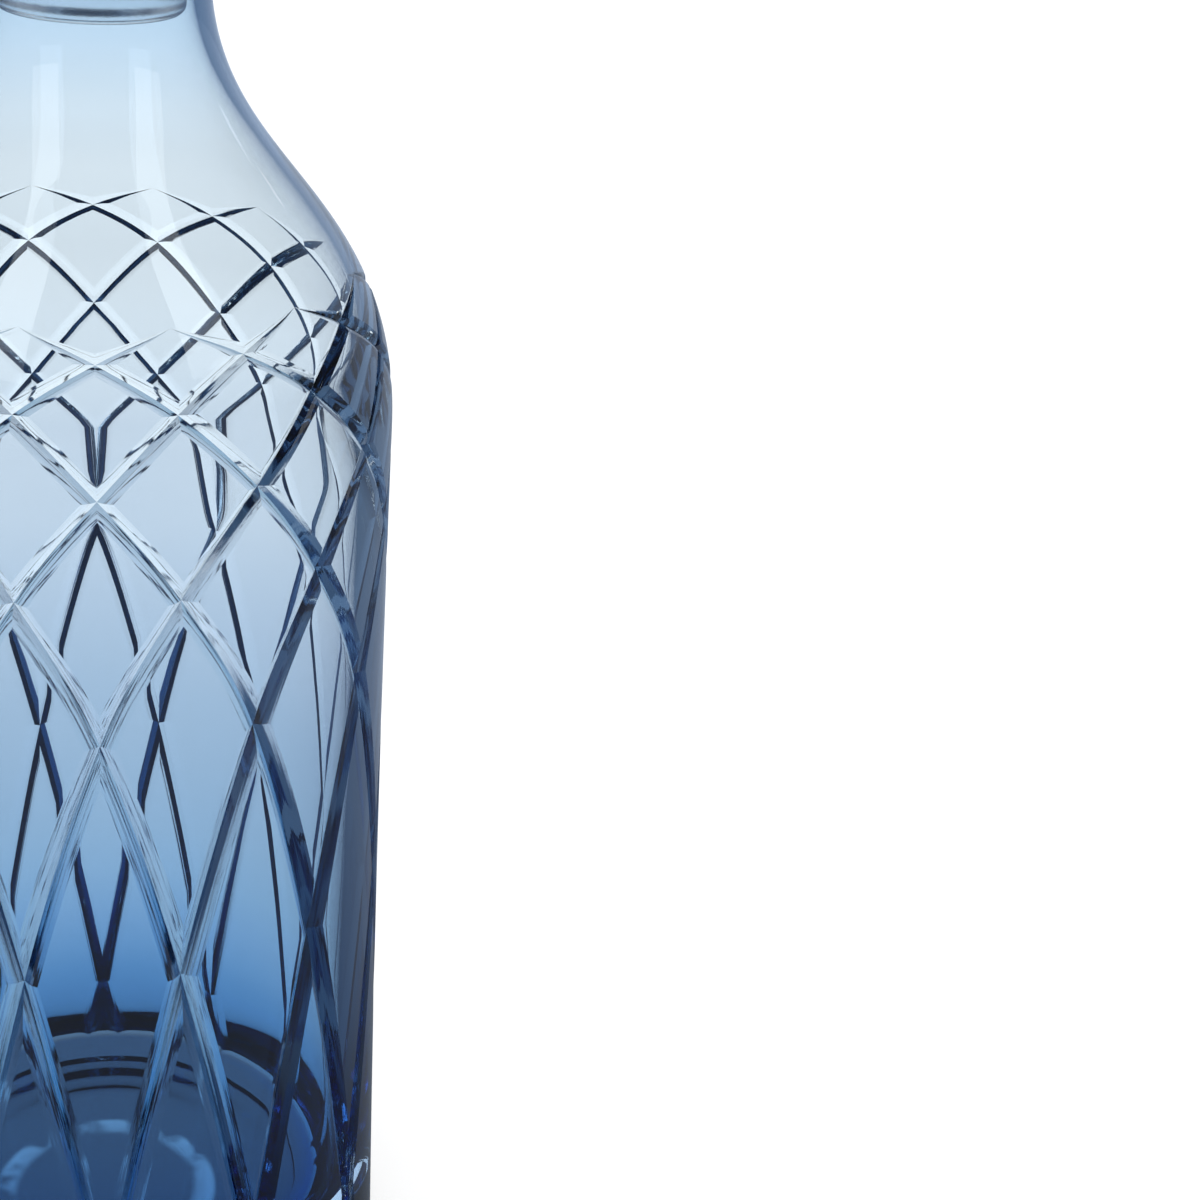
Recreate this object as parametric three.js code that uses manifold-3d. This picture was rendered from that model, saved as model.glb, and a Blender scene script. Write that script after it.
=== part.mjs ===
// A tall decanter of cut crystal with a lift-out stopper, in millimetres.
// It stands on its flat foot at z = 0, with its axis on +Z.
// The body is one blown shell: heavy base, nearly straight wall, sloping shoulder, neck and
// flared lip. Two sets of V grooves wind round it in opposite directions and cross in rows,
// and each row is taller than the one above it. The stopper's ground peg fits the neck's
// ground bore, and its cut knob stands on the lip.
import * as THREE from "three";
import { mergeVertices } from "three/addons/utils/BufferGeometryUtils.js";
import { ConvexGeometry } from "three/addons/geometries/ConvexGeometry.js";
import Module from "manifold-3d";

// Body, outside
const BODY_HEIGHT = 254; // foot to lip
const FOOT_RADIUS = 49.2;
const FOOT_CHAMFER = 1.2;
const WAIST_RADIUS = 47.3; // the slightly narrower top of the wall
const SHOULDER_HEIGHT = 71; // height of the S curve from the wall in to the neck
const SHOULDER_FULLNESS = 38; // how long the curve keeps to the wall's direction
const NECK_TANGENT = 31; // how long it keeps to the neck's direction
const NECK_RADIUS = 17.7;
const NECK_LENGTH = 24; // shoulder curve to lip
const LIP_FLARE = 4.6; // how far the lip stands out from the neck
const LIP_HEIGHT = 13; // height of the flare
const LIP_EDGE = 1.6; // half the rolled edge's thickness

// Body, inside
const BASE_THICKNESS = 16;
const WALL = 5; // at the top of the nearly straight wall
const LOWER_WALL = 6.37; // at the top of the cavity's corner
const CAVITY_CORNER = 9; // rounding where the cavity's wall meets its floor
const INNER_SHOULDER_RISE = 13; // how far above the outer wall's end the cavity's wall ends
const INNER_FULLNESS = 20; // how long the inner curve keeps to the wall's direction
const INNER_NECK_TANGENT = 21.2; // how long it keeps to the neck's direction
const NECK_WALL = 2.5;
const GROUND_LENGTH = 26; // ground taper in the mouth
const GROUND_TAPER = 1.1; // growth of the bore's radius over that length
const BORE_LAND = 1; // least straight bore below the taper

// Cutting
const GROOVES = 12; // each way round
const TIPS_ABOVE_WALL = 26.7; // the tips' height above the foot of the shoulder curve
const ROW_DROPS = [4.3, 7.2, 12.2, 16.3, 23, 41.5, 60, 82]; // tips to first crossings, and so on
const GROOVE_ANGLE = 104; // included angle of the V, degrees
const DEPTH_AT_TIP = 0.1;
const DEPTH_HIGH = 1.15; // at the row of crossings HIGH_ROW
const DEPTH_LOW = 1.75; // at the row of crossings LOW_ROW, and below it
const HIGH_ROW = 3;
const LOW_ROW = 6;
const CUTTER_STAND_OFF = 2.5; // how far the cutters stand out of the glass
const STEPS_PER_ROW = 2;

// Stopper
const STOPPER_GAP = 0.3; // clearance in the bore and above the lip
const TAIL_LENGTH = 5.3; // the peg's plain lower end, below its ground taper
const TAIL_CLEARANCE = 1; // the tail's clearance in the bore
const TAIL_EDGE = 2; // rounding of its lower end
const COLLAR_OVERHANG = 1.4; // collar's edge beyond the mouth of the bore
const COLLAR_HEIGHT = 3;
const STEM_RADIUS = 9.5;
const STEM_HEIGHT = 5;
const STEM_SINK = 1; // how far the stem runs on into the knob
const KNOB_RADIUS = 22;
const KNOB_HEIGHT = 41;
const KNOB_FACETS = 12; // facets in one ring
const KNOB_RINGS = [ // corner rings from stem to top: share of the radius and of the height
  [0.45, 0],
  [0.8, 0.17],
  [1, 0.42],
  [0.88, 0.7],
  [0.6, 0.93],
  [0.4, 1],
];

const ROUND_STEPS = 48; // sides of every turned surface
const WALL_STEPS = 3; // straight pieces in the nearly straight wall
const SHOULDER_STEPS = 10; // straight pieces in a shoulder curve
const EDGE_STEPS = 3; // straight pieces in a small rounding
const FINE_STEPS = 100; // pieces of a curve that the grooves follow
const MERGE_DISTANCE = 1e-4;
const FLATNESS = 0.03; // triangles closer to one plane than this are joined

const neckStart = BODY_HEIGHT - NECK_LENGTH;
const shoulderStart = neckStart - SHOULDER_HEIGHT;
const boreRadius = NECK_RADIUS - NECK_WALL;
const mouthRadius = boreRadius + GROUND_TAPER;
const groundStart = BODY_HEIGHT - GROUND_LENGTH;
const cavityRadius = WAIST_RADIUS - WALL;
const innerNeckStart = Math.min(neckStart, groundStart - BORE_LAND);

const wasm = await Module();
wasm.setup();

// Turns a closed three.js geometry into a solid: shared corners merged, empty triangles dropped.
function solidOf(geometry) {
  const bare = new THREE.BufferGeometry();
  bare.setAttribute("position", geometry.getAttribute("position"));
  bare.setIndex(geometry.index);
  const merged = mergeVertices(bare, MERGE_DISTANCE);
  const corners = merged.index.array;
  const triangles = [];
  for (let i = 0; i < corners.length; i += 3) {
    const [a, b, c] = corners.slice(i, i + 3);
    if (a !== b && b !== c && c !== a) triangles.push(a, b, c);
  }
  return new wasm.Manifold(
    new wasm.Mesh({
      numProp: 3,
      vertProperties: new Float32Array(merged.attributes.position.array),
      triVerts: new Uint32Array(triangles),
    }),
  );
}

function geometryOf(solid) {
  const mesh = solid.getMesh();
  const geometry = new THREE.BufferGeometry();
  geometry.setAttribute("position", new THREE.BufferAttribute(mesh.vertProperties, 3));
  geometry.setIndex(new THREE.BufferAttribute(mesh.triVerts, 1));
  geometry.computeVertexNormals();
  return geometry;
}

// A solid of revolution about +Z from a profile of (radius, z) points on and off the axis.
function turned(points) {
  const geometry = new THREE.LatheGeometry(points, ROUND_STEPS);
  geometry.rotateX(Math.PI / 2);
  return solidOf(geometry);
}

const at = (radius, z) => new THREE.Vector2(radius, z);

// The outer line of wall, shoulder, neck and lip, from the foot up.
const shoulderCurve = new THREE.CubicBezierCurve(
  at(WAIST_RADIUS, shoulderStart),
  at(WAIST_RADIUS, shoulderStart + SHOULDER_FULLNESS),
  at(NECK_RADIUS, neckStart - NECK_TANGENT),
  at(NECK_RADIUS, neckStart),
);
const wallLine = new THREE.QuadraticBezierCurve(
  at(FOOT_RADIUS, FOOT_CHAMFER),
  at(WAIST_RADIUS, shoulderStart / 2),
  at(WAIST_RADIUS, shoulderStart),
);
const lipCurve = new THREE.CubicBezierCurve(
  at(NECK_RADIUS, BODY_HEIGHT - LIP_HEIGHT),
  at(NECK_RADIUS, BODY_HEIGHT - LIP_HEIGHT / 2),
  at(NECK_RADIUS + LIP_FLARE, BODY_HEIGHT - 3 * LIP_EDGE),
  at(NECK_RADIUS + LIP_FLARE, BODY_HEIGHT - LIP_EDGE),
);
const lipEdge = new THREE.EllipseCurve(
  NECK_RADIUS + LIP_FLARE - LIP_EDGE, BODY_HEIGHT - LIP_EDGE,
  LIP_EDGE, LIP_EDGE, 0, Math.PI / 2,
);

// The inner line, from the mouth down to the middle of the cavity's floor.
const innerShoulder = new THREE.CubicBezierCurve(
  at(boreRadius, innerNeckStart),
  at(boreRadius, innerNeckStart - INNER_NECK_TANGENT),
  at(cavityRadius, shoulderStart + INNER_SHOULDER_RISE + INNER_FULLNESS),
  at(cavityRadius, shoulderStart + INNER_SHOULDER_RISE),
);

// Radius and outward direction of the uncut outside at height z. Heights under the foot
// follow on from the lowest stretch.
const outerSamples = [
  ...wallLine.getPoints(FINE_STEPS),
  ...shoulderCurve.getPoints(FINE_STEPS).slice(1),
];
function outsideAt(z) {
  const found = outerSamples.findIndex((point) => point.y > z);
  const i = found < 0 ? outerSamples.length - 1 : Math.max(1, found);
  const [low, high] = [outerSamples[i - 1], outerSamples[i]];
  const share = (z - low.y) / (high.y - low.y);
  const along = high.clone().sub(low).normalize();
  return {
    radius: low.x + (high.x - low.x) * share,
    normal: at(along.y, -along.x),
  };
}

// The cavity's wall runs straight from the inner shoulder's end to the top of its corner, which
// follows the outside.
const cornerTop = BASE_THICKNESS + CAVITY_CORNER;
const cornerRadius = outsideAt(cornerTop).radius - LOWER_WALL;
const cavityCorner = new THREE.EllipseCurve(
  cornerRadius - CAVITY_CORNER, cornerTop,
  CAVITY_CORNER, CAVITY_CORNER, 0, -Math.PI / 2, true,
);

// A groove's centre line: tip at row 0, one crossing per row, half a groove's pitch round each.
const rowCount = ROW_DROPS.length;
const rowHeights = [shoulderStart + TIPS_ABOVE_WALL];
for (const drop of ROW_DROPS) rowHeights.push(rowHeights.at(-1) - drop);
const rowCurve = new THREE.SplineCurve(rowHeights.map((z, row) => at(row, z)));

function grooveDepth(row) {
  if (row < HIGH_ROW) {
    return THREE.MathUtils.lerp(DEPTH_AT_TIP, DEPTH_HIGH, Math.sqrt(row / HIGH_ROW));
  }
  const share = Math.min(1, (row - HIGH_ROW) / (LOW_ROW - HIGH_ROW));
  return THREE.MathUtils.lerp(DEPTH_HIGH, DEPTH_LOW, share);
}

function groovePoint(row, tipAngle, way) {
  const z = rowCurve.getPoint(row / rowCount).y;
  const { radius, normal } = outsideAt(z);
  const angle = tipAngle + (way * row * Math.PI) / GROOVES;
  return {
    place: new THREE.Vector3(radius * Math.sin(angle), -radius * Math.cos(angle), z),
    outward: new THREE.Vector3(
      normal.x * Math.sin(angle), -normal.x * Math.cos(angle), normal.y,
    ),
  };
}

// The V section of a cutter across the groove's direction at one place on its line.
function grooveSection(row, tipAngle, way) {
  const step = 0.05; // of a row, to find the direction
  const { place, outward } = groovePoint(row, tipAngle, way);
  const after = groovePoint(Math.min(row + step, rowCount), tipAngle, way).place;
  const before = groovePoint(Math.max(row - step, 0), tipAngle, way).place;
  const along = after.sub(before).normalize();
  const across = new THREE.Vector3().crossVectors(outward, along).normalize();
  const depth = grooveDepth(row);
  const spread = (depth + CUTTER_STAND_OFF) * Math.tan(THREE.MathUtils.degToRad(GROOVE_ANGLE / 2));
  const top = place.clone().addScaledVector(outward, CUTTER_STAND_OFF);
  return [
    place.clone().addScaledVector(outward, -depth),
    top.clone().addScaledVector(across, spread),
    top.clone().addScaledVector(across, -spread),
  ];
}

function grooveCutter(tipAngle, way) {
  const steps = rowCount * STEPS_PER_ROW;
  const sections = [];
  for (let i = 0; i <= steps; i += 1) sections.push(grooveSection(i / STEPS_PER_ROW, tipAngle, way));
  const wedges = sections.slice(1).map((section, i) =>
    solidOf(new ConvexGeometry([...sections[i], ...section])));
  return wasm.Manifold.union(wedges);
}

function makeBody() {
  const shell = turned([
    at(0, 0),
    at(FOOT_RADIUS - FOOT_CHAMFER, 0),
    ...wallLine.getPoints(WALL_STEPS),
    ...shoulderCurve.getPoints(SHOULDER_STEPS).slice(1),
    ...lipCurve.getPoints(EDGE_STEPS),
    ...lipEdge.getPoints(EDGE_STEPS).slice(1),
    at(mouthRadius, BODY_HEIGHT),
    at(boreRadius, groundStart),
    ...innerShoulder.getPoints(SHOULDER_STEPS),
    ...cavityCorner.getPoints(EDGE_STEPS + 1),
    at(0, BASE_THICKNESS),
  ]);
  const cutters = [];
  for (let i = 0; i < GROOVES; i += 1) {
    const tipAngle = ((i + 0.5) * 2 * Math.PI) / GROOVES;
    cutters.push(grooveCutter(tipAngle, 1), grooveCutter(tipAngle, -1));
  }
  return geometryOf(shell.subtract(wasm.Manifold.union(cutters)).simplify(FLATNESS));
}

// One ring of the knob's corners, turned by half a facet on every other ring.
function knobRing(radius, z, turn) {
  const ring = [];
  for (let i = 0; i < KNOB_FACETS; i += 1) {
    const angle = ((i + turn) * 2 * Math.PI) / KNOB_FACETS;
    ring.push(new THREE.Vector3(radius * Math.sin(angle), -radius * Math.cos(angle), z));
  }
  return ring;
}

function makeStopper() {
  const collarStart = BODY_HEIGHT + STOPPER_GAP;
  const collarTop = collarStart + COLLAR_HEIGHT;
  const knobStart = collarTop + STEM_HEIGHT;
  const tailEnd = groundStart - TAIL_LENGTH;
  const tailRadius = boreRadius - TAIL_CLEARANCE;
  const tailEdge = new THREE.EllipseCurve(
    tailRadius - TAIL_EDGE, tailEnd + TAIL_EDGE, TAIL_EDGE, TAIL_EDGE, -Math.PI / 2, 0,
  );
  const turnedPart = turned([
    at(0, tailEnd),
    ...tailEdge.getPoints(EDGE_STEPS),
    at(boreRadius - STOPPER_GAP, groundStart),
    at(mouthRadius - STOPPER_GAP, collarStart),
    at(mouthRadius + COLLAR_OVERHANG, collarStart),
    at(mouthRadius + COLLAR_OVERHANG, collarTop),
    at(STEM_RADIUS, collarTop + STEM_HEIGHT / 2),
    at(STEM_RADIUS, knobStart + STEM_SINK),
    at(0, knobStart + STEM_SINK),
  ]);
  const knob = new ConvexGeometry(KNOB_RINGS.flatMap(([width, height], i) =>
    knobRing(width * KNOB_RADIUS, knobStart + height * KNOB_HEIGHT, (i % 2) / 2)));
  return geometryOf(turnedPart.add(solidOf(knob)));
}

function piece(name, geometry, color, roughness) {
  const material = new THREE.MeshStandardMaterial({
    color, roughness, metalness: 0, transparent: true, opacity: 0.6,
  });
  const mesh = new THREE.Mesh(geometry, material);
  mesh.name = name;
  return mesh;
}

const decanter = new THREE.Group();
decanter.add(piece("decanter_body", makeBody(), 0x7fa3cc, 0.05));
decanter.add(piece("stopper", makeStopper(), 0xd5e4f2, 0.05));

export default decanter;
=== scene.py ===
# A tall decanter of cut crystal with a lift-out stopper, on a plain pale floor.
# The body is one glass shell. Two sets of V grooves wind round it in opposite directions and
# cross in rows. Sizes and colours stand in the two property groups below.
import math

import bmesh
import bpy
import numpy as np
from bpy.props import FloatProperty, FloatVectorProperty, PointerProperty
from mathutils import Matrix, Vector


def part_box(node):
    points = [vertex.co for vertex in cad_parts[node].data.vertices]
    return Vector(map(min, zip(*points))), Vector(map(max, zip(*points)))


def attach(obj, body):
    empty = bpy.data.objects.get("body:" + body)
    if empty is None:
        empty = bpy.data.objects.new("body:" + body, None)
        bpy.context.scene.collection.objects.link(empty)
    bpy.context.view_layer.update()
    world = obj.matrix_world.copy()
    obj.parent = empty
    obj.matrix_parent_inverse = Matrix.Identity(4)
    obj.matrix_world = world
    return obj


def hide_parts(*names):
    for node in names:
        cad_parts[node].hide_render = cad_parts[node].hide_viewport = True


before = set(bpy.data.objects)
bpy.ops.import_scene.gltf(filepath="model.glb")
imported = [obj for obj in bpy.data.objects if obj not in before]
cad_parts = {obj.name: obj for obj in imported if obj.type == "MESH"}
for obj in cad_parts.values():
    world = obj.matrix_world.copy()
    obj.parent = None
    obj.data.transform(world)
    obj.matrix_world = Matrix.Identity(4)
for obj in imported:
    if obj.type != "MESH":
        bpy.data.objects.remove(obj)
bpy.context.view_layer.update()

bl_info = {
    "name": "Cut crystal decanter",
    "version": (1, 0, 0),
    "blender": (4, 5, 0),
    "location": "3D View > Sidebar > Decanter",
    "description": "Builds a cut glass decanter, its stopper and a plain stage",
    "category": "Object",
}

_, BODY_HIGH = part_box("decanter_body")
STOPPER_LOW, STOPPER_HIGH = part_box("stopper")
MM = 0.001
TILES_ROUND = 24  # columns between neighbouring groove tips and crossings
TILE_STEPS = 10  # edges along one side of a tile
INSIDE_STEPS = 28
RIM_STEPS = 5  # round the mouth's inner edge
GROUND_STEPS = 11  # down the ground taper in the mouth
RIM_EDGE = 0.7 * MM
TAPER_DROP = 1.5 * MM  # the ground taper starts this far below the lip


def size(name, description, default_mm):
    return FloatProperty(
        name=name, description=description, default=default_mm * MM,
        subtype="DISTANCE", unit="LENGTH", precision=4,
    )


def colour(name, description, default):
    return FloatVectorProperty(
        name=name, description=description, default=default,
        subtype="COLOR", size=3, min=0.0, max=1.0,
    )


class DecanterSizes(bpy.types.PropertyGroup):
    waist_radius: size("Waist radius", "Outside radius at the top of the wall", 47.3)
    shoulder_height: size("Shoulder height", "Height of the curve from wall to neck", 71)
    shoulder_fullness: size("Shoulder fullness", "How long it keeps to the wall's line", 38)
    neck_tangent: size("Neck tangent", "How long it keeps to the neck's line", 31)
    neck_radius: size("Neck radius", "Outside radius of the neck", 17.7)
    neck_length: size("Neck length", "From the shoulder's curve to the lip", 24)
    lip_flare: size("Lip flare", "How far the lip stands out from the neck", 4.6)
    lip_height: size("Lip height", "Height of the flare", 13)
    lip_edge: size("Lip edge", "Half the thickness of the rolled edge", 1.6)
    foot_chamfer: size("Foot chamfer", "Width of the ground edge of the foot", 1.2)
    base_thickness: size("Base thickness", "Solid glass under the cavity", 16)
    wall: size("Wall", "Thickness of the wall", 5)
    cavity_corner: size("Cavity corner", "Rounding where wall meets cavity floor", 9)
    neck_wall: size("Neck wall", "Thickness of the neck", 2.5)
    inner_rise: size("Inner rise", "Top of the cavity's wall above the outer wall's", 13)
    inner_fullness: size("Inner fullness", "How long it keeps to the wall's line inside", 20)
    inner_tangent: size("Inner tangent", "How long it keeps to the neck's line inside", 21.2)
    ground_length: size("Ground length", "Length of the ground taper in the mouth", 26)
    ground_taper: size("Ground taper", "Growth of the bore's radius over it", 1.1)
    tips_above_wall: size("Tips above wall", "Height of the groove tips on the shoulder", 26.7)
    groove_depth_high: size("Upper groove depth", "Depth at the third crossings", 1.25)
    groove_depth_low: size("Lower groove depth", "Depth from the sixth crossings down", 1.75)
    groove_angle: FloatProperty(
        name="Groove angle", description="Included angle of the V",
        default=math.radians(104), subtype="ANGLE", unit="ROTATION",
    )
    stopper_gap: size("Stopper gap", "Clearance of the stopper in the neck", 0.3)


class DecanterColours(bpy.types.PropertyGroup):
    clear: colour("Clear", "Uncoloured glass", (0.97, 0.985, 0.99))
    bore: colour("Bore", "Ground glass in the mouth", (0.882, 0.94, 0.975))
    peg: colour("Peg", "Glass of the stopper's peg and collar", (0.99, 0.99, 0.995))
    knob: colour("Knob", "Glass of the stopper's knob", (0.82, 0.90, 0.955))
    foot: colour("Foot", "Glass of the underside", (0.38, 0.55, 0.78))
    floor: colour("Floor", "Floor and surroundings", (0.95, 0.955, 0.96))


# ---------------------------------------------------------------- outlines

def bezier(p0, p1, p2, p3, steps):
    """Points on a cubic curve from p0 to p3, with its tangents towards p1 and from p2."""
    t = np.linspace(0, 1, steps + 1)[:, None]
    p0, p1, p2, p3 = (np.array(p, float) for p in (p0, p1, p2, p3))
    return (1 - t) ** 3 * p0 + 3 * t * (1 - t) ** 2 * p1 + 3 * t * t * (1 - t) * p2 + t ** 3 * p3


def arc(centre, radius, start, end, steps):
    """Points on a round arc, its angles in degrees from the direction of growing radius."""
    a = np.radians(np.linspace(start, end, steps + 1))
    return np.stack([centre[0] + radius * np.cos(a), centre[1] + radius * np.sin(a)], 1)


class Outline:
    """The decanter's outer and inner lines as (radius, z) points, from its sizes."""

    def __init__(self, s):
        height, foot = BODY_HIGH.z, BODY_HIGH.x
        neck_start = height - s.neck_length
        self.shoulder_start = neck_start - s.shoulder_height
        self.tips = self.shoulder_start + s.tips_above_wall
        waist, neck = s.waist_radius, s.neck_radius
        t = np.linspace(0, 1, 61)[:, None]
        low = np.array((foot, s.foot_chamfer))
        mid = np.array((waist, self.shoulder_start / 2))
        high = np.array((waist, self.shoulder_start))
        wall = (1 - t) ** 2 * low + 2 * t * (1 - t) * mid + t * t * high
        self.shoulder = bezier(
            (waist, self.shoulder_start), (waist, self.shoulder_start + s.shoulder_fullness),
            (neck, neck_start - s.neck_tangent), (neck, neck_start), 240,
        )
        self.outer = np.concatenate([wall, self.shoulder[1:]])
        lip = neck + s.lip_flare
        self.lip = np.concatenate([
            bezier((neck, height - s.lip_height), (neck, height - s.lip_height / 2),
                   (lip, height - 3 * s.lip_edge), (lip, height - s.lip_edge), 14),
            arc((lip - s.lip_edge, height - s.lip_edge), s.lip_edge, 0, 90, 8)[1:],
        ])
        bore = neck - s.neck_wall
        self.bore, self.mouth = bore, bore + s.ground_taper
        self.ground_start = height - s.ground_length
        cavity = waist - s.wall
        inner_neck = min(neck_start, self.ground_start - MM)
        inner_wall = self.shoulder_start + s.inner_rise
        corner = s.cavity_corner
        self.inside = np.concatenate([
            arc((self.mouth + RIM_EDGE, height - RIM_EDGE), RIM_EDGE, 90, 180, RIM_STEPS),
            np.linspace((self.mouth, height - TAPER_DROP), (bore, self.ground_start),
                        GROUND_STEPS + 1),
            bezier((bore, inner_neck), (bore, inner_neck - s.inner_tangent),
                   (cavity, inner_wall + s.inner_fullness), (cavity, inner_wall), 56),
            np.linspace((cavity, inner_wall),
                        (cavity, s.base_thickness + corner), INSIDE_STEPS)[1:],
            arc((cavity - corner, s.base_thickness + corner), corner, 0, -90, 14)[1:],
            np.linspace((cavity - corner, s.base_thickness), (2 * MM, s.base_thickness), 10)[1:],
        ])

    def radius(self, z):
        return np.interp(z, self.outer[:, 1], self.outer[:, 0])

    def tilt(self, z):
        """Angle of the outward normal above the horizon at height z."""
        step = 0.2 * MM
        return np.arctan2(self.radius(z - step) - self.radius(z + step), 2 * step)


# ---------------------------------------------------------------- grooves

ROW_DROPS = (4.3, 7.2, 12.2, 16.3, 23, 41.5, 60, 82)  # mm from each row of crossings to the next


def row_height(outline, row):
    """Height of a groove's line, `row` rows of crossings below its tip: a smooth curve."""
    z = outline.tips - np.concatenate([[0], np.cumsum(ROW_DROPS)]) * MM
    row = np.asarray(row, float)
    i = np.clip(np.floor(row).astype(int), 0, len(z) - 2)
    t = row - i
    slope = np.concatenate([[z[1] - z[0]], (z[2:] - z[:-2]) / 2, [z[-1] - z[-2]]])
    v0, v1 = slope[i], slope[i + 1]
    a = 2 * z[i] - 2 * z[i + 1] + v0 + v1
    b = -3 * z[i] + 3 * z[i + 1] - 2 * v0 - v1
    return ((a * t + b) * t + v0) * t + z[i]


def groove_depth(s, row):
    """The V's depth: nothing at its tip, most of the upper depth at the first crossings."""
    high, low = s.groove_depth_high, s.groove_depth_low
    return np.interp(row, (0, 1, 2, 3, 6), (0, 0.85 * high, 0.97 * high, high, low))


def band_half_widths(outline, s, row):
    """Half the groove's band at a crossing, along the row (in columns) and down it (in rows)."""
    column = 2 * np.pi / TILES_ROUND
    step = 0.02
    z = row_height(outline, row)
    slope = (row_height(outline, np.maximum(row - step, 0)) - row_height(outline, row + step))
    slope = slope / (row + step - np.maximum(row - step, 0))
    slope = slope / np.cos(outline.tilt(z))
    across = outline.radius(z) * column
    half = groove_depth(s, row) * math.tan(s.groove_angle / 2) * SOFT_EDGE
    angle = np.arctan2(slope, across)
    return half / np.sin(angle) / across, half / np.cos(angle) / slope


SOFT_EDGE = 1.08  # the shallow sides make the band this much wider than a plain V's
# place across one side of a groove from its bottom out, and share of the depth there
STRIPS = ((0, 0.95), (0.36, 0.44), (0.46, 0.33), (0.60, 0.215), (0.80, 0.095), (1, 0))
TALLEST_BAND = 0.45  # of a tile, so that the bands of two grooves leave some uncut glass
LANES_APART = 4  # from one groove's number to the next, which keeps their grinding lines apart
OTHER_WAY = 40  # the first number of the grooves that wind the other way

# Faces belong to numbered patches, and the edges between two patches are sharp.
PLAIN_PATCH, GROUND_PATCH, INNER_PATCH, FIRST_CUT_PATCH = range(4)


class Sheet:
    """Collects faces of (column, row, depth) points, each patch of faces with its own number."""

    def __init__(self):
        self.points, self.faces, self.patches, self.lanes = [], [], [], []
        self.count = 0

    def grid(self, block, patch, lanes):
        """Quads between neighbours in block, an array [i, j] of points with their lanes."""
        rows, columns = block.shape[:2]
        start = self.count
        self.points.append(block.reshape(-1, 3))
        self.lanes.append(lanes.reshape(-1, 2))
        self.count += rows * columns
        for i in range(rows - 1):
            for j in range(columns - 1):
                a = start + i * columns + j
                self.faces.append((a, a + 1, a + columns + 1, a + columns))
                self.patches.append(patch)

    def triangle(self, a, b, c, steps, patch):
        """A triangle of points a, b, c cut into steps rows."""
        index = {}
        made = []
        for i in range(steps + 1):
            for j in range(steps + 1 - i):
                u, v = i / steps, j / steps
                index[i, j] = self.count + len(made)
                made.append(a * (1 - u - v) + b * u + c * v)
        self.points.append(np.array(made))
        self.lanes.append(np.tile((1.0, 0.0), (len(made), 1)))
        self.count += len(made)
        for i in range(steps):
            for j in range(steps - i):
                self.faces.append((index[i, j], index[i + 1, j], index[i, j + 1]))
                self.patches.append(patch)
                if j < steps - i - 1:
                    self.faces.append((index[i + 1, j], index[i + 1, j + 1], index[i, j + 1]))
                    self.patches.append(patch)


def cut_tile(sheet, outline, s, column, row, patch):
    """One tile of the cut wall: a groove from corner to corner and the uncut glass beside it."""
    leans_right = (column + row) % 2 == 1  # the groove goes down to the right
    wide_top, tall_top = band_half_widths(outline, s, row) if row else (0.0, 0.0)
    wide_foot, tall_foot = band_half_widths(outline, s, row + 1)
    tall_foot = min(tall_foot, TALLEST_BAND)
    along = np.linspace(0, 1, TILE_STEPS + 1)
    depth = groove_depth(s, row + along)
    if leans_right:
        groove = (column - row) % TILES_ROUND
    else:
        groove = OTHER_WAY + (column + 1 + row) % TILES_ROUND

    def placed(x, y, d):
        x = x if leans_right else 1 - x
        return np.stack(np.broadcast_arrays(column + x, row + y, d), -1)

    # the upper right side first, then the lower left side, each from the groove's bottom out
    edges = (
        (wide_top + along * (1 - wide_top), along * (1 - tall_foot)),
        (along * (1 - wide_foot), tall_top + along * (1 - tall_top)),
    )
    corners = ((1.0, 0.0), (0.0, 1.0))
    for side, ((edge_x, edge_y), corner) in enumerate(zip(edges, corners)):
        for strip in range(len(STRIPS) - 1):
            lines, lanes = [], []
            for across, share in STRIPS[strip:strip + 2]:
                x = along + (edge_x - along) * across
                y = along + (edge_y - along) * across
                lines.append(placed(x, y, depth * share))
                lane = LANES_APART * groove + (across if side == 0 else -across)
                lanes.append(np.stack([np.full(len(y), lane), row + y], -1))
            block, lanes = np.stack(lines, 0), np.stack(lanes, 0)
            if (side == 0) != leans_right:
                block, lanes = block[::-1], lanes[::-1]
            sheet.grid(block, patch + side, lanes)
        a = placed(edge_x[0], edge_y[0], 0.0)
        b = placed(edge_x[-1], edge_y[-1], 0.0)
        c = placed(*corner, 0.0)
        if (side == 0) != leans_right:
            a, b = b, a
        sheet.triangle(a, c, b, TILE_STEPS, PLAIN_PATCH)


def wrap(outline, points):
    """(column, row, depth) points to places in space."""
    angle = points[:, 0] * 2 * np.pi / TILES_ROUND
    z = row_height(outline, points[:, 1])
    tilt = outline.tilt(np.maximum(z, 3 * MM))
    radius = np.where(z > outline.outer[0, 1], outline.radius(z), outline.outer[0, 0])
    radius = radius - points[:, 2] * np.cos(tilt)
    return np.stack([
        radius * np.sin(angle), -radius * np.cos(angle), z - points[:, 2] * np.sin(tilt),
    ], 1)


FIRST_RING_RISE = 0.6 * MM  # the first plain ring stands this far above the groove tips


def above_cuts(outline, s):
    """The outline from the groove tips up over the lip, down the inside and in to its middle."""
    shoulder = outline.shoulder[outline.shoulder[:, 1] > outline.tips + FIRST_RING_RISE][::5]
    neck_top = (s.neck_radius, BODY_HIGH.z - s.lip_height)
    return np.concatenate([
        [(outline.radius(outline.tips), outline.tips)], shoulder,
        np.linspace(shoulder[-1], neck_top, 6)[1:], outline.lip[1:], outline.inside,
    ])


def turned(profile, columns):
    """Rings of points round the axis for (radius, z) points, as [point, column]."""
    angle = np.arange(columns + 1) * 2 * np.pi / columns
    r, z = profile[:, :1], profile[:, 1:]
    heights = np.broadcast_to(z, (len(r), columns + 1))
    return np.stack([r * np.sin(angle), -r * np.cos(angle), heights], 2)


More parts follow.
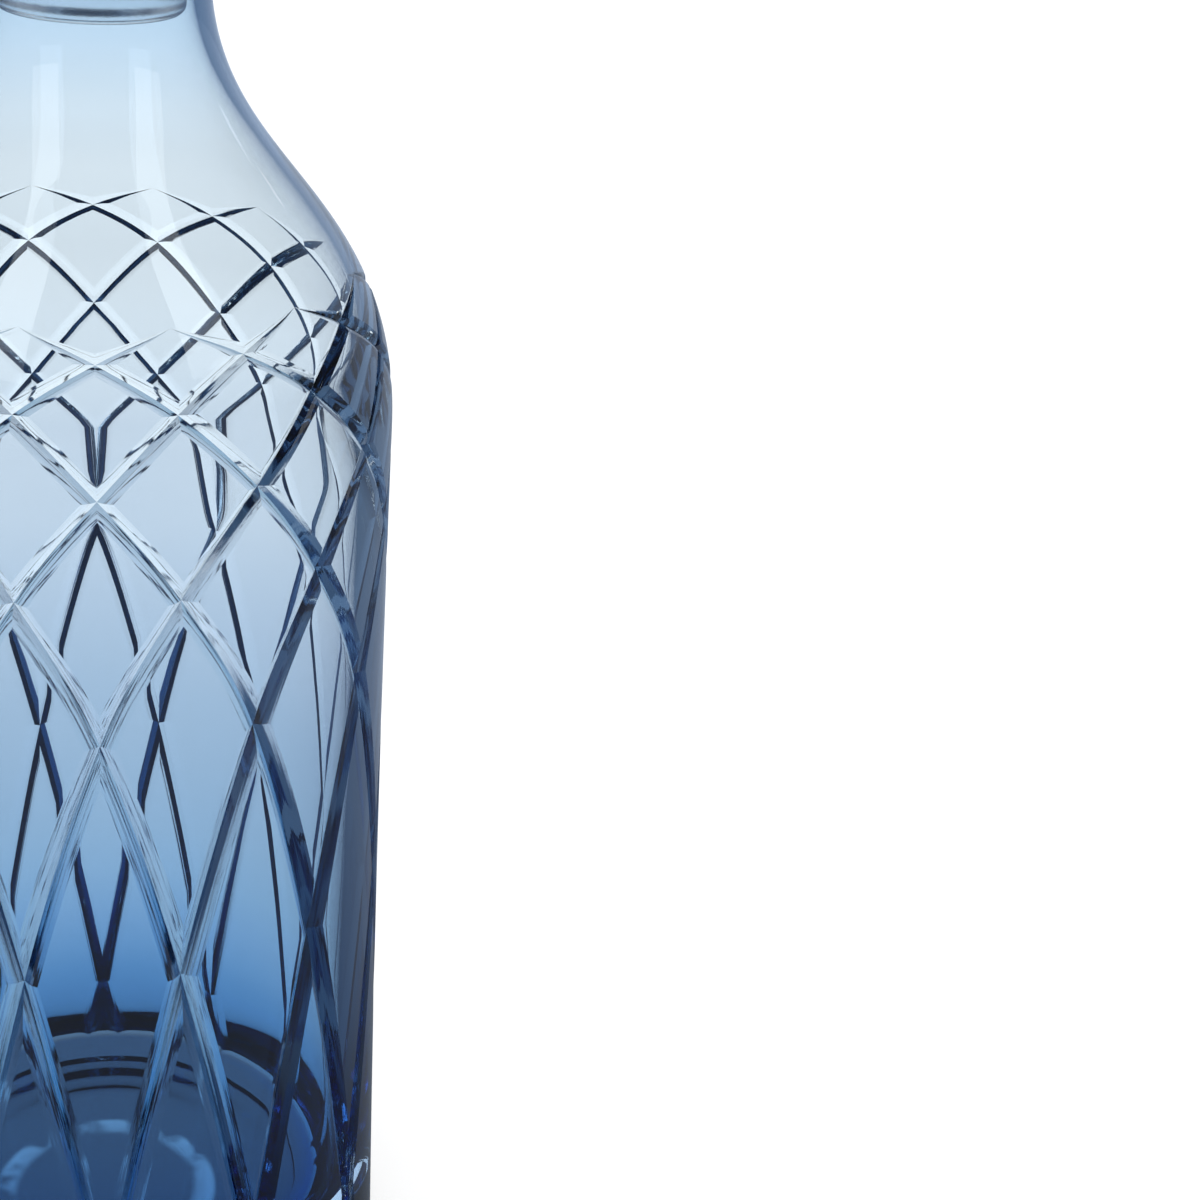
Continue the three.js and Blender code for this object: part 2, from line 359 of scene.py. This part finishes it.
def ring_faces(rings, columns, start):
    """Quads between neighbouring rings of points, the first of which is number start."""
    i, j = np.meshgrid(np.arange(rings - 1), np.arange(columns), indexing="ij")
    a = start + i * (columns + 1) + j
    return np.stack([a, a + 1, a + columns + 2, a + columns + 1], -1).reshape(-1, 4)


def welded(points, faces):
    """Joins equal points, and drops the faces and sides that this closes.

    Returns the points, the faces, the old number of each face, and the old point of each corner.
    """
    keys = np.round(points * 1e8).astype(np.int64)
    _, first, place = np.unique(keys, axis=0, return_index=True, return_inverse=True)
    place = place.reshape(-1)
    new_faces, kept, old_corners = [], [], []
    for number, face in enumerate(faces):
        corners = [int(place[c]) for c in face]
        use = [k for k, c in enumerate(corners) if c != corners[k - 1]]
        if len({corners[k] for k in use}) >= 3:
            new_faces.append([corners[k] for k in use])
            old_corners.extend(face[k] for k in use)
            kept.append(number)
    return points[first], new_faces, kept, old_corners


HOLLOW_RADIUS, HOLLOW_EDGE, HOLLOW_RISE = 38 * MM, 0.8 * MM, 2.4 * MM
HOLLOW_STEPS = (0.86, 0.72)  # shares of its radius where it was polished in steps
STEP_RISE, STEP_SHARPNESS = 0.12 * MM, 40


def hollow_rings(s):
    """Rings (radius, z) of the polished hollow under the foot, from its edge to its middle."""
    rings = [(HOLLOW_RADIUS, 0)]
    for share in np.linspace(1, 0.04, 25):
        radius = (HOLLOW_RADIUS - HOLLOW_EDGE) * share
        steps = sum(
            STEP_RISE * (1 + math.tanh((at - share) * STEP_SHARPNESS)) for at in HOLLOW_STEPS
        )
        rings.append((radius, HOLLOW_EDGE * 0.4 + HOLLOW_RISE * (1 - share * share) + steps))
    return rings


def close_foot(mesh_data, s):
    """Cuts the wall off at the foot, and closes it with a ground edge and the hollow."""
    bm = bmesh.new()
    bm.from_mesh(mesh_data)
    everything = bm.verts[:] + bm.edges[:] + bm.faces[:]
    bmesh.ops.bisect_plane(
        bm, geom=everything, dist=1e-7, plane_co=(0, 0, s.foot_chamfer), plane_no=(0, 0, 1),
        clear_inner=True,
    )
    rim = [e for e in bm.edges if e.is_boundary]
    made = bmesh.ops.extrude_edge_only(bm, edges=rim)["geom"]
    low = [v for v in made if isinstance(v, bmesh.types.BMVert)]
    for v in low:
        flat = math.hypot(v.co.x, v.co.y)
        v.co = (v.co.x * (1 - s.foot_chamfer / flat), v.co.y * (1 - s.foot_chamfer / flat), 0)
    edge_faces = [f for f in made if isinstance(f, bmesh.types.BMFace)]
    flat_faces = []
    for number, (radius, height) in enumerate(hollow_rings(s)):
        border = [e for e in bm.edges if e.is_boundary]
        made = bmesh.ops.extrude_edge_only(bm, edges=border)["geom"]
        for v in made:
            if isinstance(v, bmesh.types.BMVert):
                scale = radius / math.hypot(v.co.x, v.co.y)
                v.co = (v.co.x * scale, v.co.y * scale, height)
        ring = [f for f in made if isinstance(f, bmesh.types.BMFace)]
        (flat_faces if number == 0 else edge_faces).extend(ring)
        if number < 2:
            for e in border:
                e.smooth = False
    bottom = bmesh.ops.contextual_create(bm, geom=[e for e in bm.edges if e.is_boundary])["faces"]
    for f in edge_faces + flat_faces + bottom:
        f.material_index = FOOT_SURFACE
        f.smooth = f not in flat_faces
    for e in rim:
        if e.is_valid:
            e.smooth = False
    bmesh.ops.recalc_face_normals(bm, faces=bm.faces)
    bm.to_mesh(mesh_data)
    bm.free()


OUTER_SURFACE, CUT_SURFACE, INNER_SURFACE, GROUND_SURFACE, FOOT_SURFACE = range(5)


def decanter_mesh(s):
    """The whole glass shell as one closed mesh."""
    outline = Outline(s)
    sheet = Sheet()
    for row in range(len(ROW_DROPS)):
        for column in range(TILES_ROUND):
            tile = row * TILES_ROUND + column
            cut_tile(sheet, outline, s, column, row, FIRST_CUT_PATCH + 2 * tile)
    cut = np.concatenate(sheet.points)
    lanes = np.concatenate(sheet.lanes)
    points = wrap(outline, cut)
    faces, patches = list(sheet.faces), list(sheet.patches)
    surfaces = [CUT_SURFACE if p else OUTER_SURFACE for p in patches]

    profile = above_cuts(outline, s)
    inside_from = len(profile) - len(outline.inside)
    columns = TILES_ROUND * TILE_STEPS
    rings = turned(profile, columns)[:, ::-1]
    upper = ring_faces(len(profile), columns, len(points))
    for number, face in enumerate(upper):
        ring = number // columns
        faces.append(tuple(int(c) for c in face))
        if ring < inside_from + RIM_STEPS:
            patches.append(PLAIN_PATCH)
            surfaces.append(OUTER_SURFACE)
        elif ring < inside_from + RIM_STEPS + GROUND_STEPS:
            patches.append(GROUND_PATCH)
            surfaces.append(GROUND_SURFACE)
        else:
            patches.append(INNER_PATCH)
            surfaces.append(INNER_SURFACE)
    start = len(points)
    points = np.concatenate([points, rings.reshape(-1, 3), [(0, 0, s.base_thickness)]])
    lanes = np.concatenate([lanes, np.tile((1.0, 0.0), (len(points) - len(lanes), 1))])
    last = start + (len(profile) - 1) * (columns + 1)
    for j in range(columns):
        faces.append((last + j, last + j + 1, len(points) - 1))
        patches.append(INNER_PATCH)
        surfaces.append(INNER_SURFACE)

    points, faces, kept, corners = welded(points, faces)
    made = bpy.data.meshes.new("decanter_body")
    made.from_pydata(points.tolist(), [], faces)
    made.polygons.foreach_set("use_smooth", [True] * len(faces))
    made.polygons.foreach_set("material_index", [surfaces[k] for k in kept])
    for name, values in zip(("lane", "along"), lanes[corners].T):
        made.attributes.new(name, "FLOAT", "CORNER").data.foreach_set("value", values)
    sides = {}
    for number, face in enumerate(faces):
        for a, b in zip(face, face[1:] + face[:1]):
            sides.setdefault((min(a, b), max(a, b)), set()).add(patches[kept[number]])
    for edge in made.edges:
        edge.use_edge_sharp = len(sides[tuple(sorted(edge.vertices))]) > 1
    close_foot(made, s)
    return made


# ---------------------------------------------------------------- stopper

TAIL_CLEARANCE, TAIL_ROUNDING, TAIL_STEP = 1 * MM, 2 * MM, 0.4 * MM
COLLAR_OVERHANG, COLLAR_HEIGHT, COLLAR_EDGE = 1.4 * MM, 3 * MM, 0.6 * MM
STEM_RADIUS, STEM_FILLET = 9.5 * MM, 1.2 * MM
KNOB_RISE = 8 * MM  # from the collar's underside to the knob
# share of the knob's radius and of its height at each ring of corners, from below
KNOB_RINGS = ((0.45, 0), (0.8, 0.17), (1, 0.42), (0.88, 0.7), (0.6, 0.93), (0.4, 1))
KNOB_FACETS = 12
STOPPER_COLUMNS = 96
GROUND_RINGS = range(4, 17)  # of the stopper's outline, from its rounded tail up to the collar
PEG_SURFACE, PEG_GROUND_SURFACE, KNOB_SURFACE = range(3)


def peg_outline(s):
    """(radius, z) points of the peg, collar and stem, from the tail's end up to the knob."""
    outline = Outline(s)
    low, gap = STOPPER_LOW.z, s.stopper_gap
    tail = outline.bore - TAIL_CLEARANCE
    collar = outline.mouth + COLLAR_OVERHANG - COLLAR_EDGE
    under = BODY_HIGH.z + gap
    over = under + COLLAR_HEIGHT
    fillet = STEM_RADIUS + STEM_FILLET
    return np.concatenate([
        arc((tail - TAIL_ROUNDING, low + TAIL_ROUNDING), TAIL_ROUNDING, -90, 0, 6),
        [(tail, outline.ground_start - TAIL_STEP)],
        np.linspace((outline.bore - gap, outline.ground_start), (outline.mouth - gap, under), 10),
        arc((collar, under + COLLAR_EDGE), COLLAR_EDGE, -90, 0, 4),
        arc((collar, over - COLLAR_EDGE), COLLAR_EDGE, 0, 90, 4),
        [(fillet, over)],
        arc((fillet, over + STEM_FILLET), STEM_FILLET, -90, -180, 4)[1:],
        [(STEM_RADIUS, under + KNOB_RISE)],
    ])


def stopper_mesh(s):
    """The turned peg, collar and stem, with the faceted knob on top."""
    profile = peg_outline(s)
    knob, high, knob_low = STOPPER_HIGH.x, STOPPER_HIGH.z, profile[-1][1]
    columns = STOPPER_COLUMNS
    bm = bmesh.new()
    rings = []
    for ring in turned(profile, columns)[:, :-1]:
        rings.append([bm.verts.new(p) for p in ring])
    for i in range(len(rings) - 1):
        for j in range(columns):
            k = (j + 1) % columns
            f = bm.faces.new((rings[i][j], rings[i][k], rings[i + 1][k], rings[i + 1][j]))
            f.smooth = True
            f.material_index = PEG_GROUND_SURFACE if i in GROUND_RINGS else PEG_SURFACE
    bottom = bm.faces.new(rings[0][::-1])
    bottom.smooth = False
    corners = []
    for number, (share, height) in enumerate(KNOB_RINGS):
        turn = (number % 2) * np.pi / KNOB_FACETS
        a = np.arange(KNOB_FACETS) * 2 * np.pi / KNOB_FACETS + turn
        z = knob_low + (high - knob_low) * height
        corners.append([
            bm.verts.new((share * knob * math.sin(t), -share * knob * math.cos(t), z)) for t in a
        ])
    below_knob = len(bm.faces)
    per = columns // KNOB_FACETS
    for j in range(columns):
        k = (j + 1) % columns
        near = corners[0][round(j / per) % KNOB_FACETS]
        bm.faces.new((rings[-1][j], rings[-1][k], near))
        after = corners[0][round(k / per) % KNOB_FACETS if k else 0]
        if after != near:
            bm.faces.new((rings[-1][k], after, near))
    for i in range(len(corners) - 1):
        lower, upper = corners[i], corners[i + 1]
        for j in range(KNOB_FACETS):
            k = (j + 1) % KNOB_FACETS
            if i % 2 == 0:
                bm.faces.new((lower[j], lower[k], upper[j]))
                bm.faces.new((lower[k], upper[k], upper[j]))
            else:
                bm.faces.new((lower[j], upper[k], upper[j]))
                bm.faces.new((lower[j], lower[k], upper[k]))
    bm.faces.new(corners[-1])
    bm.faces.ensure_lookup_table()
    for f in bm.faces[below_knob:]:
        f.material_index = KNOB_SURFACE
    bmesh.ops.recalc_face_normals(bm, faces=bm.faces)
    made = bpy.data.meshes.new("stopper")
    bm.to_mesh(made)
    bm.free()
    return made


# ---------------------------------------------------------------- materials

GLASS_INDEX = 1.54
CUT_ROUGHNESS, GROUND_ROUGHNESS, PEG_ROUGHNESS = 0.05, 0.3, 0.22
GRINDING_ACROSS, GRINDING_ALONG = 6.0, 0.12  # how fast the lines change across and along
GRINDING_DEPTH = 0.07 * MM
GRINDING_START, GRINDING_GROWTH = 2.5, 0.25  # in rows below the tips, and per row from there
GRINDING_LEAST = 0.06
WAVE_SIZE, WAVE_DEPTH = 45, 0.02 * MM  # polished faces
GRAIN_SIZE, GRAIN_DEPTH = 2500, 0.02 * MM  # ground faces
FOOT_BLUE_TO, FOOT_CLEAR_FROM = 0.93, 0.99  # shares of the foot's radius


def new_material(name):
    made = bpy.data.materials.new(name)
    made.use_nodes = True
    made.node_tree.nodes.clear()
    return made, made.node_tree


def node(tree, kind, **values):
    made = tree.nodes.new(kind)
    for key, value in values.items():
        setattr(made, key, value)
    return made


def feed(tree, socket, value):
    """Links another node's output into a socket, or sets a number or colour on the socket."""
    if isinstance(value, bpy.types.NodeSocket):
        tree.links.new(socket, value)
    elif socket.type == "RGBA":
        socket.default_value = (*value, 1)
    else:
        socket.default_value = value


def output(tree, shader):
    tree.links.new(node(tree, "ShaderNodeOutputMaterial").inputs["Surface"], shader)


def glass(tree, tint, roughness=0.0):
    shader = node(tree, "ShaderNodeBsdfGlass")
    shader.inputs["Roughness"].default_value = roughness
    shader.inputs["IOR"].default_value = GLASS_INDEX
    feed(tree, shader.inputs["Color"], tint)
    return shader


def place(tree):
    return node(tree, "ShaderNodeTexCoord").outputs["Object"]


def bump(tree, height, distance, strength=1.0):
    made = node(tree, "ShaderNodeBump")
    feed(tree, made.inputs["Strength"], strength)
    made.inputs["Distance"].default_value = distance
    tree.links.new(made.inputs["Height"], height)
    return made.outputs["Normal"]


def noise(tree, scale, detail=2.0, vector=None):
    made = node(tree, "ShaderNodeTexNoise")
    made.inputs["Scale"].default_value = scale
    made.inputs["Detail"].default_value = detail
    tree.links.new(made.inputs["Vector"], vector or place(tree))
    return made.outputs["Fac"]


def ramp_of(tree, value, stops):
    """A colour ramp from value, with stops of (place from 0 to 1, colour)."""
    ramp = node(tree, "ShaderNodeValToRGB")
    tree.links.new(ramp.inputs[0], value)
    elements = ramp.color_ramp.elements
    for number, (at, tint) in enumerate(stops):
        element = elements[number] if number < 2 else elements.new(at)
        element.position = at
        element.color = (*tint, 1)
    return ramp.outputs[0]


def clear_glass(name, tint):
    """Polished glass with faint slow waves."""
    made, tree = new_material(name)
    shader = glass(tree, tint)
    waves = bump(tree, noise(tree, WAVE_SIZE), WAVE_DEPTH)
    tree.links.new(shader.inputs["Normal"], waves)
    output(tree, shader.outputs[0])
    return made


def attribute(tree, name):
    return node(tree, "ShaderNodeAttribute", attribute_name=name).outputs["Fac"]


def math_node(tree, operation, *inputs):
    made = node(tree, "ShaderNodeMath", operation=operation)
    for socket, value in zip(made.inputs, inputs):
        feed(tree, socket, value)
    return made.outputs[0]


def foot_glass(name, colours):
    """The underside: deep blue in the middle, clear at its rim."""
    made, tree = new_material(name)
    reach = node(tree, "ShaderNodeVectorMath", operation="MULTIPLY")
    reach.inputs[1].default_value = (1, 1, 0)
    tree.links.new(reach.inputs[0], place(tree))
    radius = node(tree, "ShaderNodeVectorMath", operation="LENGTH")
    tree.links.new(radius.inputs[0], reach.outputs["Vector"])
    share = math_node(tree, "DIVIDE", radius.outputs["Value"], BODY_HIGH.x)
    tint = ramp_of(tree, share, (
        (0.0, colours.foot), (FOOT_BLUE_TO, colours.foot), (FOOT_CLEAR_FROM, colours.clear)))
    output(tree, glass(tree, tint).outputs[0])
    return made


def cut_glass(name, colours):
    """Cut faces: clear glass, with grinding lines along the grooves that grow stronger downwards."""
    made, tree = new_material(name)
    shader = glass(tree, colours.clear, CUT_ROUGHNESS)
    lines = node(tree, "ShaderNodeCombineXYZ")
    lane, along = attribute(tree, "lane"), attribute(tree, "along")
    tree.links.new(lines.inputs[0], math_node(tree, "MULTIPLY", lane, GRINDING_ACROSS))
    tree.links.new(lines.inputs[1], math_node(tree, "MULTIPLY", along, GRINDING_ALONG))
    height = noise(tree, 1.0, 1.5, lines.outputs[0])
    rows_down = math_node(tree, "SUBTRACT", along, GRINDING_START)
    strength = node(tree, "ShaderNodeClamp")
    strength.inputs["Min"].default_value = GRINDING_LEAST
    tree.links.new(
        strength.inputs["Value"], math_node(tree, "MULTIPLY", rows_down, GRINDING_GROWTH))
    scratches = bump(tree, height, GRINDING_DEPTH, strength.outputs[0])
    tree.links.new(shader.inputs["Normal"], scratches)
    output(tree, shader.outputs[0])
    return made


def tinted_glass(name, stops):
    """The inner face, which carries the colour: stops are (height in mm, colour)."""
    made, tree = new_material(name)
    split = node(tree, "ShaderNodeSeparateXYZ")
    tree.links.new(split.inputs[0], place(tree))
    height = math_node(tree, "DIVIDE", split.outputs["Z"], BODY_HIGH.z)
    tint = ramp_of(tree, height, [(at * MM / BODY_HIGH.z, c) for at, c in stops])
    output(tree, glass(tree, tint).outputs[0])
    return made


def ground_glass(name, tint, roughness):
    """Ground faces, which blur what lies behind them."""
    made, tree = new_material(name)
    shader = glass(tree, tint, roughness)
    grain = bump(tree, noise(tree, GRAIN_SIZE, 3), GRAIN_DEPTH)
    tree.links.new(shader.inputs["Normal"], grain)
    output(tree, shader.outputs[0])
    return made


# ---------------------------------------------------------------- pieces

def add_object(name, mesh_data, materials):
    made = bpy.data.objects.new(name, mesh_data)
    bpy.context.scene.collection.objects.link(made)
    for m in materials:
        mesh_data.materials.append(m)
    return made


TINTS = (  # height in mm, and what the inner face lets through there
    (16.2, (0.187, 0.242, 0.297)),
    (17.5, (0.105, 0.290, 0.570)),
    (21, (0.130, 0.330, 0.620)),
    (25, (0.160, 0.380, 0.690)),
    (28, (0.190, 0.420, 0.730)),
    (33, (0.263, 0.500, 0.800)),
    (40, (0.350, 0.580, 0.854)),
    (50, (0.450, 0.668, 0.886)),
    (60, (0.499, 0.693, 0.876)),
    (75, (0.530, 0.695, 0.855)),
    (90, (0.550, 0.698, 0.850)),
    (110, (0.635, 0.750, 0.882)),
    (130, (0.745, 0.832, 0.925)),
    (150, (0.805, 0.877, 0.940)),
    (170, (0.838, 0.892, 0.935)),
    (190, (0.835, 0.888, 0.926)),
    (205, (0.815, 0.874, 0.920)),
    (215, (0.730, 0.818, 0.893)),
    (227, (0.620, 0.745, 0.850)),
)


class DECANTER_OT_body(bpy.types.Operator):
    """Build the cut glass body"""

    bl_idname = "decanter.body"
    bl_label = "Body"

    def execute(self, context):
        s, c = context.scene.decanter_sizes, context.scene.decanter_colours
        materials = [
            clear_glass("polished outside", c.clear),
            cut_glass("cut grooves", c),
            tinted_glass("tinted inside", TINTS),
            ground_glass("ground bore", c.bore, GROUND_ROUGHNESS),
            foot_glass("foot", c),
        ]
        body = add_object("cut_body", decanter_mesh(s), materials)
        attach(body, "decanter")
        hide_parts("decanter_body")
        return {"FINISHED"}


class DECANTER_OT_stopper(bpy.types.Operator):
    """Build the stopper with its ground peg and cut knob"""

    bl_idname = "decanter.stopper"
    bl_label = "Stopper"

    def execute(self, context):
        s, c = context.scene.decanter_sizes, context.scene.decanter_colours
        materials = [
            clear_glass("polished stopper", c.peg),
            ground_glass("ground peg", c.peg, PEG_ROUGHNESS),
            clear_glass("polished knob", c.knob),
        ]
        piece = add_object("cut_stopper", stopper_mesh(s), materials)
        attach(piece, "stopper")
        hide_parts("stopper")
        return {"FINISHED"}


# ---------------------------------------------------------------- stage

def light(tree, kind, tint, strength=1.0):
    made = node(tree, kind)
    made.inputs["Strength"].default_value = strength
    feed(tree, made.inputs["Color"], tint)
    return made.outputs[0]


def mixed(tree, share, first, second):
    made = node(tree, "ShaderNodeMixShader")
    feed(tree, made.inputs[0], share)
    tree.links.new(made.inputs[1], first)
    tree.links.new(made.inputs[2], second)
    return made.outputs[0]


def light_path(tree, name):
    return node(tree, "ShaderNodeLightPath").outputs[name]


def mirrored_path(tree):
    """1 for light that a glass face has mirrored, 0 for light that has only gone through."""
    return math_node(tree, "GREATER_THAN", light_path(tree, "Glossy Depth"), 0.5)


def outside_mirror(tree):
    """1 for light mirrored by the glass before it has gone through any."""
    return math_node(tree, "LESS_THAN", light_path(tree, "Transmission Depth"), 0.5)


def shades(tint, stops):
    """Ramp stops of one colour: (place, level) becomes (place, colour times level)."""
    return [(at, tuple(level * c for c in tint)) for at, level in stops]


WHITE = (1, 1, 1)
ROOM_LEVEL = 1.42  # of everything that the glass lets through
SHEEN = (0.70, 0.81, 1.0)  # what the outside of the glass mirrors
SOFTBOX, SOFTBOX_LEVEL = (0.95, 0.98, 1), 1.4
WIDE_LEVEL = 1.5  # of the room, as it lights the floor
SHADE = (0.10, 0.18, 0.31)  # what the inside of the glass mirrors
NEAR_SHADE = tuple(0.6 * c for c in SHADE)
DEEP = (0.03, 0.065, 0.13)
DARK = (0.012, 0.020, 0.034)

# the floor, by the distance from the decanter's axis in metres
FLOOR_LIGHT = ((0.0, 0.66), (0.14, 0.70), (0.36, 0.79), (0.9, 0.93), (1.0, 0.95))
FLOOR_SHEEN = ((0, 0.1), (0.13, 0.3), (0.26, 0.5), (0.42, 0.4), (1, 0.8))
FLOOR_SHADE = ((0.0, DARK), (0.07, DARK), (0.11, DEEP), (0.3, NEAR_SHADE), (1.0, SHADE))
FLOOR_RADIUS, FLOOR_DROP = 6, 0.2 * MM
EVEN_FLOOR = 0.6  # share of the open floor that is evenly lit
# painted light: bright rings glowing on the floor under the glass, in place of the light that the
# glass gathers there, broken into patches
PAINTED_RING_LIGHT, PAINTED_RING_TINT, PAINTED_RING_SHARE = 4.0, (1, 0.95, 0.8), 0.8
RINGS_REACH = 20.0  # makes the rings' places shares of 50 mm
RINGS = ((0, 0), (0.32, 0), (0.35, 0.7), (0.40, 1), (0.42, 0), (0.54, 0), (0.57, 0.3), (0.6, 0))
RING_PATCHES = ((0, 0), (0.46, 0), (0.56, 1))
PATCH_SIZE, PATCH_DETAIL = 75, 3.0

# the room, by the height of the direction: 0 is level and 1 straight up
ROOM_LIGHT = ((0.0, 0.96), (0.3, 1.0), (0.6, 0.6), (1.0, 0.9))
ROOM_SHEEN = ((0, 1), (0.2, 0.8), (0.5, 0.15), (1, 0.15))
ROOM_SHADE = ((0.0, SHADE), (0.25, SHADE), (0.45, DARK), (1.0, DARK))
BOX_TURN, BOX_HALF_WIDTH = 0.7, 0.2  # each softbox's place in its quarter of the room, in radians
BOX_FOOT, BOX_TOP = 0.35, 0.85


def lay_floor(colours):
    """The pale floor: bright where it is seen through the glass, and dim where glass mirrors it."""
    bpy.ops.mesh.primitive_circle_add(
        vertices=96, radius=FLOOR_RADIUS, fill_type="NGON", location=(0, 0, -FLOOR_DROP),
    )
    floor = bpy.context.active_object
    floor.name = "floor"
    made, tree = new_material("floor")
    plain = node(tree, "ShaderNodeBsdfDiffuse")
    plain.inputs["Color"].default_value = (*colours.floor, 1)
    distance = node(tree, "ShaderNodeVectorMath", operation="LENGTH")
    tree.links.new(distance.inputs[0], node(tree, "ShaderNodeNewGeometry").outputs["Position"])
    reach = distance.outputs["Value"]

    def glow(tint, strength=1.0):
        return light(tree, "ShaderNodeEmission", tint, strength)

    lit = glow(ramp_of(tree, reach, shades(WHITE, FLOOR_LIGHT)), ROOM_LEVEL)
    # painted light: the glowing rings under the glass, broken into patches, mixed into the floor's
    # light
    near = math_node(tree, "MULTIPLY", reach, RINGS_REACH)
    rings = ramp_of(tree, near, shades(WHITE, RINGS))
    patches = ramp_of(tree, noise(tree, PATCH_SIZE, PATCH_DETAIL), shades(WHITE, RING_PATCHES))
    patches = math_node(tree, "MULTIPLY", patches, PAINTED_RING_SHARE)
    painted_rings = math_node(tree, "MULTIPLY", rings, patches)
    lit = mixed(tree, painted_rings, lit, glow(PAINTED_RING_TINT, PAINTED_RING_LIGHT))
    sheen = glow(ramp_of(tree, reach, shades(SHEEN, FLOOR_SHEEN)))
    dim = glow(ramp_of(tree, reach, FLOOR_SHADE))
    mirror = mixed(tree, outside_mirror(tree), dim, sheen)
    seen = mixed(tree, mirrored_path(tree), lit, mirror)
    open_floor = mixed(tree, EVEN_FLOOR, plain.outputs[0], glow(WHITE))
    output(tree, mixed(tree, light_path(tree, "Is Camera Ray"), seen, open_floor))
    floor.data.materials.append(made)
    return floor


def studio_world():
    """The room: pale all round for light that goes through the glass, with four softboxes."""
    world = bpy.data.worlds.new("studio")
    world.use_nodes = True
    tree = world.node_tree
    tree.nodes.clear()
    split = node(tree, "ShaderNodeSeparateXYZ")
    tree.links.new(split.inputs[0], node(tree, "ShaderNodeTexCoord").outputs["Generated"])
    height = math_node(tree, "MAXIMUM", split.outputs["Z"], 0.0)

    def glow(tint, strength=1.0):
        return light(tree, "ShaderNodeBackground", tint, strength)

    turn = math_node(tree, "ARCTAN2", split.outputs["X"], split.outputs["Y"])
    quarter = math_node(tree, "WRAP", turn, math.pi / 2, 0.0)
    aside = math_node(tree, "ABSOLUTE", math_node(tree, "SUBTRACT", quarter, BOX_TURN))
    side = math_node(tree, "LESS_THAN", aside, BOX_HALF_WIDTH)
    tall = math_node(tree, "MULTIPLY", math_node(tree, "GREATER_THAN", height, BOX_FOOT),
                     math_node(tree, "LESS_THAN", height, BOX_TOP))
    box = math_node(tree, "MULTIPLY", side, tall)
    lit = glow(ramp_of(tree, height, shades(WHITE, ROOM_LIGHT)), ROOM_LEVEL)
    dim = glow(ramp_of(tree, height, ROOM_SHADE))
    sheen = glow(ramp_of(tree, height, shades(SHEEN, ROOM_SHEEN)))
    dim = mixed(tree, outside_mirror(tree), dim, sheen)
    mirror = mixed(tree, box, dim, glow(SOFTBOX, SOFTBOX_LEVEL))
    seen = mixed(tree, mirrored_path(tree), lit, mirror)
    seen = mixed(tree, light_path(tree, "Is Diffuse Ray"), seen, glow(WHITE, WIDE_LEVEL))
    tree.links.new(
        node(tree, "ShaderNodeOutputWorld").inputs[0],
        mixed(tree, light_path(tree, "Is Camera Ray"), seen, glow(WHITE)),
    )
    return world


# in metres and radians: its place, its turn from the +Y direction, its look down, and its roll
CAMERA_PLACE = (0.0, -0.365396, 0.291267)
CAMERA_YAW, CAMERA_PITCH, CAMERA_ROLL = 0.228816, 0.417934, 0.0813574
CAMERA_FOCAL = 71.061


def camera_axes():
    """Directions to the camera's right, up and back."""
    yaw, pitch, roll = CAMERA_YAW, CAMERA_PITCH, CAMERA_ROLL
    flat = math.cos(pitch)
    forward = Vector((math.sin(yaw) * flat, math.cos(yaw) * flat, -math.sin(pitch)))
    level = Vector((math.cos(yaw), -math.sin(yaw), 0))
    up = level.cross(forward)
    right = math.cos(roll) * level + math.sin(roll) * up
    return right, -math.sin(roll) * level + math.cos(roll) * up, -forward


class DECANTER_OT_stage(bpy.types.Operator):
    """Lay the floor, light the scene and place the camera"""

    bl_idname = "decanter.stage"
    bl_label = "Stage"

    def execute(self, context):
        scene = context.scene
        c = scene.decanter_colours
        floor = lay_floor(c)
        scene.world = studio_world()

        camera_data = bpy.data.cameras.new("camera")
        camera_data.lens = CAMERA_FOCAL
        camera_data.sensor_width = 36
        camera_data.clip_start = 0.01
        camera = bpy.data.objects.new("camera", camera_data)
        scene.collection.objects.link(camera)
        right, up, back = camera_axes()
        turn = Matrix((right, up, back)).transposed().to_4x4()
        camera.matrix_world = Matrix.Translation(CAMERA_PLACE) @ turn
        scene.camera = camera
        scene.view_settings.view_transform = "Standard"
        scene.cycles.max_bounces = 24
        scene.cycles.transmission_bounces = 24
        scene.cycles.glossy_bounces = 16
        return {"FINISHED"}


class DECANTER_PT_panel(bpy.types.Panel):
    """Sizes, colours and pieces of the decanter"""

    bl_label = "Decanter"
    bl_idname = "DECANTER_PT_panel"
    bl_space_type = "VIEW_3D"
    bl_region_type = "UI"
    bl_category = "Decanter"

    def draw(self, context):
        for settings in (context.scene.decanter_sizes, context.scene.decanter_colours):
            box = self.layout.box()
            for name in settings.bl_rna.properties.keys():
                if name not in ("rna_type", "name"):
                    box.prop(settings, name)
        for operator in OPERATORS:
            self.layout.operator(operator.bl_idname)


GROUPS = (DecanterSizes, DecanterColours)
OPERATORS = (DECANTER_OT_body, DECANTER_OT_stopper, DECANTER_OT_stage)


def register():
    for made in (*GROUPS, *OPERATORS, DECANTER_PT_panel):
        bpy.utils.register_class(made)
    bpy.types.Scene.decanter_sizes = PointerProperty(type=DecanterSizes)
    bpy.types.Scene.decanter_colours = PointerProperty(type=DecanterColours)


def unregister():
    del bpy.types.Scene.decanter_sizes
    del bpy.types.Scene.decanter_colours
    for made in reversed((*GROUPS, *OPERATORS, DECANTER_PT_panel)):
        bpy.utils.unregister_class(made)


def main():
    register()
    bpy.ops.decanter.body()
    bpy.ops.decanter.stopper()
    bpy.ops.decanter.stage()


if __name__ == "__main__":
    main()
